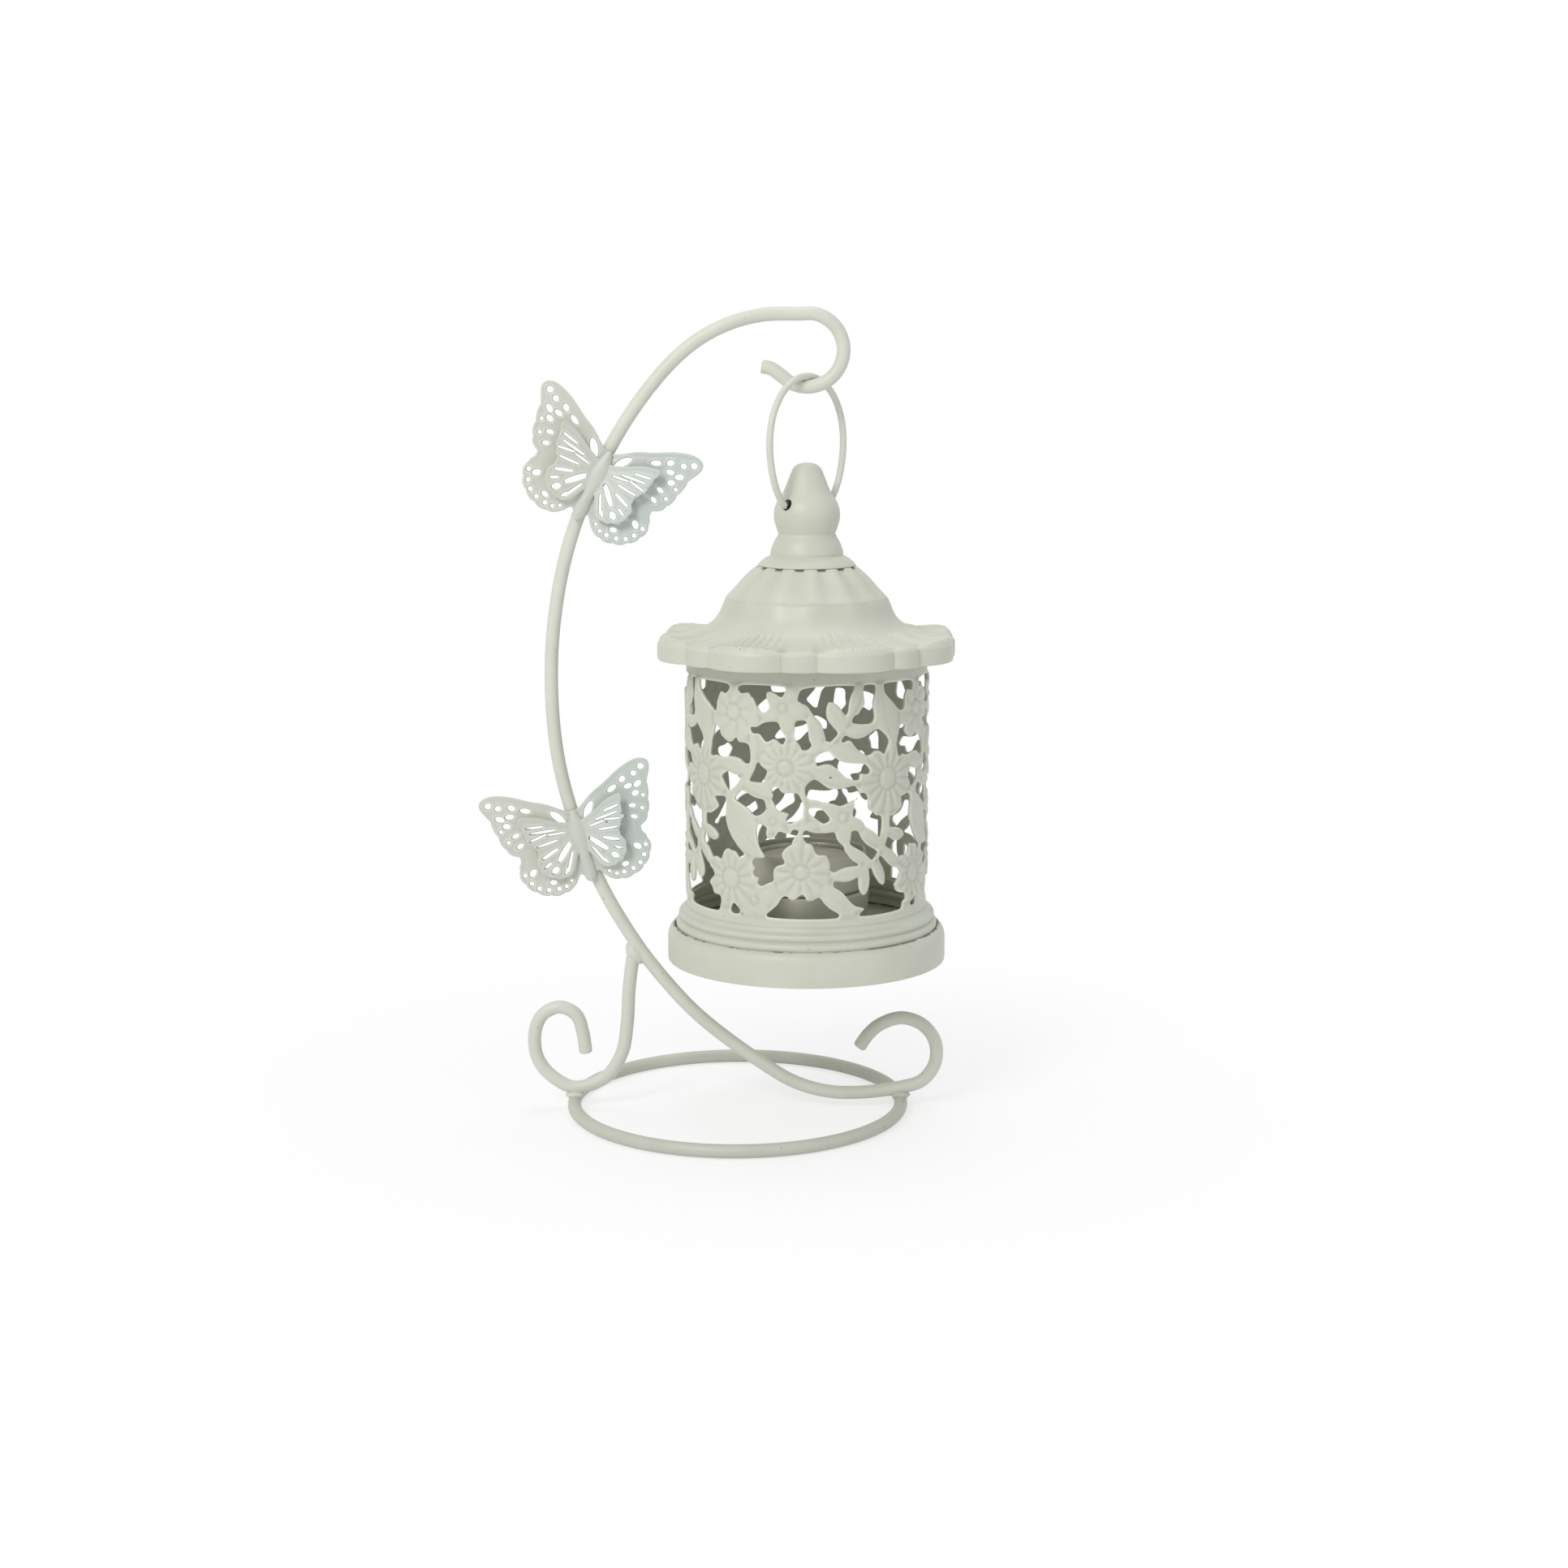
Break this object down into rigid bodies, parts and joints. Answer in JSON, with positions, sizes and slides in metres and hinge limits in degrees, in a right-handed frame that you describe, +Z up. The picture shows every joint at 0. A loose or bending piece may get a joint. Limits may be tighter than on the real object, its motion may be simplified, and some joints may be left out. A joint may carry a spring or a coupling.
{
  "type": "hanging tealight lantern",
  "caption": "Pierced cylindrical metal tealight lantern with a scalloped roof, hung by a wire bail from a curled wire stand with sheet-metal butterflies.",
  "frame": {"origin": "on the table, under the middle of the whole object's bounding box", "axes": "+Z up, +X to the viewer's right in the stand's own plane, -Y towards the viewer"},
  "size_m": [0.1768, 0.129, 0.3],
  "materials": {
    "stand_paint": "satin",
    "butterfly_paint": "satin",
    "lantern_paint": "satin",
    "foil": "satin",
    "wax": "matte",
    "tin_plate": "satin",
    "cotton": "matte"
  },
  "bodies": {
    "stand": {"base_ring": "stand_paint", "stem_wire": "stand_paint", "brace_wire": "stand_paint", "upper_butterfly_outer_wings": "butterfly_paint", "upper_butterfly_inner_wings": "butterfly_paint", "lower_butterfly_outer_wings": "butterfly_paint", "lower_butterfly_inner_wings": "butterfly_paint"},
    "bail": {"bail_hoop": "stand_paint"},
    "lantern": {"finial": "lantern_paint", "roof": "lantern_paint", "pierced_body": "lantern_paint"},
    "tray": {"base_tray": "lantern_paint", "candle_cup": "lantern_paint"},
    "tealight": {"tealight_cup": "foil", "tealight_wax": "wax", "wick_plate": "tin_plate", "tealight_wick": "cotton"}
  },
  "joints": [
    {"name": "bail_swing", "type": "hinge", "parent": "stand", "child": "bail", "pos_m": [0.03377, 0, 0.2712], "axis": [1, 0, 0], "range_deg": [-60, 60]},
    {"name": "lantern_swing", "type": "hinge", "parent": "bail", "child": "lantern", "pos_m": [0.03377, 0, 0.229], "axis": [-0.6561, -0.7547, 0], "range_deg": [-3.5, 60]},
    {"name": "tray_slide", "type": "slide", "parent": "lantern", "child": "tray", "axis": [0, 0, -1], "range_m": [0, 0.006]},
    {"name": "tealight_lift", "type": "slide", "parent": "tray", "child": "tealight", "axis": [0, 0, 1], "range_m": [0, 0.06]}
  ]
}
